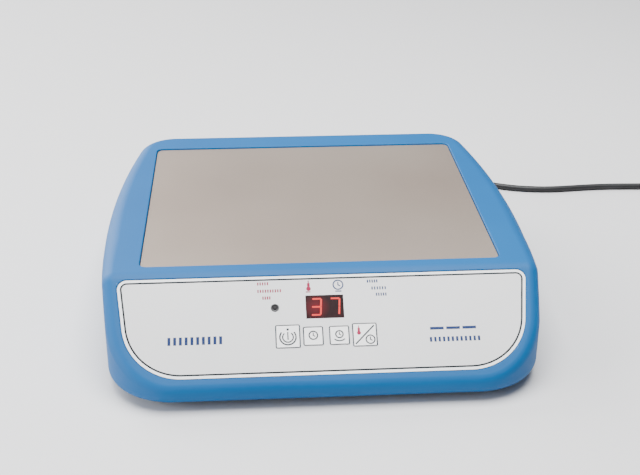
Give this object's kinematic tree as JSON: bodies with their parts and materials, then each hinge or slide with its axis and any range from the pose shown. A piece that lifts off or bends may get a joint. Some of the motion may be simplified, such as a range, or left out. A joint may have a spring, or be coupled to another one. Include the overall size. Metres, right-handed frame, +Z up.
{
  "type": "laboratory warming plate",
  "caption": "Bench-top warming plate with a heated metal top set into a moulded housing, a sloped membrane control panel with a digit display and a captive mains lead.",
  "frame": {"origin": "on the bench plane under the middle of the housing's outline", "axes": "+X to the right seen from the control panel, +Y to the rear where the lead leaves, +Z up"},
  "size_m": [0.481, 0.3212, 0.058],
  "materials": {
    "blue_moulding": "satin moulded blue",
    "zinc_sheet": "zinc-plated sheet",
    "steel_screw": "zinc-plated steel",
    "foot_rubber": "matt black rubber",
    "heated_plate": "bead-blasted warm grey metal",
    "red_silicone": "silicone rubber",
    "mineral_board": "pressed mineral board",
    "white_nylon": "natural nylon",
    "sensor_epoxy": "dipped epoxy",
    "dark_bakelite": "moulded black resin",
    "panel_film": "fine-textured polyester film",
    "red_filter": "dark red filter",
    "black_bezel": "glossy black",
    "smoked_lens": "grey moulded lens",
    "red_led": "tinted resin",
    "circuit_board": "solder mask",
    "ribbon_grey": "ribbed vinyl",
    "brass_spacer": "bright brass",
    "transformer_iron": "varnished laminations",
    "black_anodised": "black anodised",
    "fuse_glass": "clear glass with metal caps",
    "capacitor_sleeve": "shrink sleeve",
    "silicone_wire": "glass-braided silicone",
    "brown_wire": "vinyl insulation",
    "lead_jacket": "black vinyl jacket",
    "tie_strap": "woven strap",
    "plug_pin": "nickel-plated"
  },
  "bodies": {
    "housing": {"top_housing": "blue_moulding", "base_pan": "zinc_sheet", "base_screws": "steel_screw", "rubber_feet": "foot_rubber", "foot_screws": "steel_screw", "heating_plate": "heated_plate", "plate_gasket": "red_silicone", "heater_mat": "red_silicone", "insulation_board": "mineral_board", "backing_tray": "zinc_sheet", "flange_spacers": "white_nylon", "tray_screws": "steel_screw", "temperature_sensor": "sensor_epoxy", "sensor_clip": "steel_screw", "thermal_cutout": "dark_bakelite", "panel_overlay": "panel_film", "display_filter": "red_filter", "display_module": "dark_bakelite", "lamp_bezel": "black_bezel", "lamp_lens": "smoked_lens", "indicator_led": "red_led", "switch_bodies": "dark_bakelite", "control_board": "circuit_board", "board_screws": "steel_screw", "controller_chip": "dark_bakelite", "buzzer": "dark_bakelite", "board_header": "white_nylon", "ribbon_cable": "ribbon_grey", "power_board": "circuit_board", "power_spacers": "brass_spacer", "power_screws": "steel_screw", "transformer": "transformer_iron", "heat_sink": "black_anodised", "heater_triac": "dark_bakelite", "fuse_clips": "brass_spacer", "fuse": "fuse_glass", "terminal_block": "circuit_board", "capacitors": "capacitor_sleeve", "heater_wires": "silicone_wire", "mains_wires": "brown_wire", "cord_clamp": "dark_bakelite", "clamp_screws": "steel_screw", "inner_lead": "lead_jacket", "strain_relief": "lead_jacket", "mains_cord": "lead_jacket", "cord_coil": "lead_jacket", "coil_tie": "tie_strap", "cord_tail": "lead_jacket", "plug_body": "lead_jacket", "plug_pins": "plug_pin"},
    "power_key": {"key_power": "panel_film", "plunger_power": "dark_bakelite"},
    "timer_key": {"key_timer": "panel_film", "plunger_timer": "dark_bakelite"},
    "interval_key": {"key_interval": "panel_film", "plunger_interval": "dark_bakelite"},
    "mode_key": {"key_mode": "panel_film", "plunger_mode": "dark_bakelite"}
  },
  "joints": [
    {"name": "power_press", "type": "slide", "parent": "housing", "child": "power_key", "axis": [0, 0.6428, -0.766], "range_m": [0, 0.0004], "stiffness_N_per_m": 700, "springref_m": -0.0004},
    {"name": "timer_press", "type": "slide", "parent": "housing", "child": "timer_key", "axis": [0, 0.6428, -0.766], "range_m": [0, 0.0004], "stiffness_N_per_m": 700, "springref_m": -0.0004},
    {"name": "interval_press", "type": "slide", "parent": "housing", "child": "interval_key", "axis": [0, 0.6428, -0.766], "range_m": [0, 0.0004], "stiffness_N_per_m": 700, "springref_m": -0.0004},
    {"name": "mode_press", "type": "slide", "parent": "housing", "child": "mode_key", "axis": [0, 0.6428, -0.766], "range_m": [0, 0.0004], "stiffness_N_per_m": 700, "springref_m": -0.0004}
  ]
}
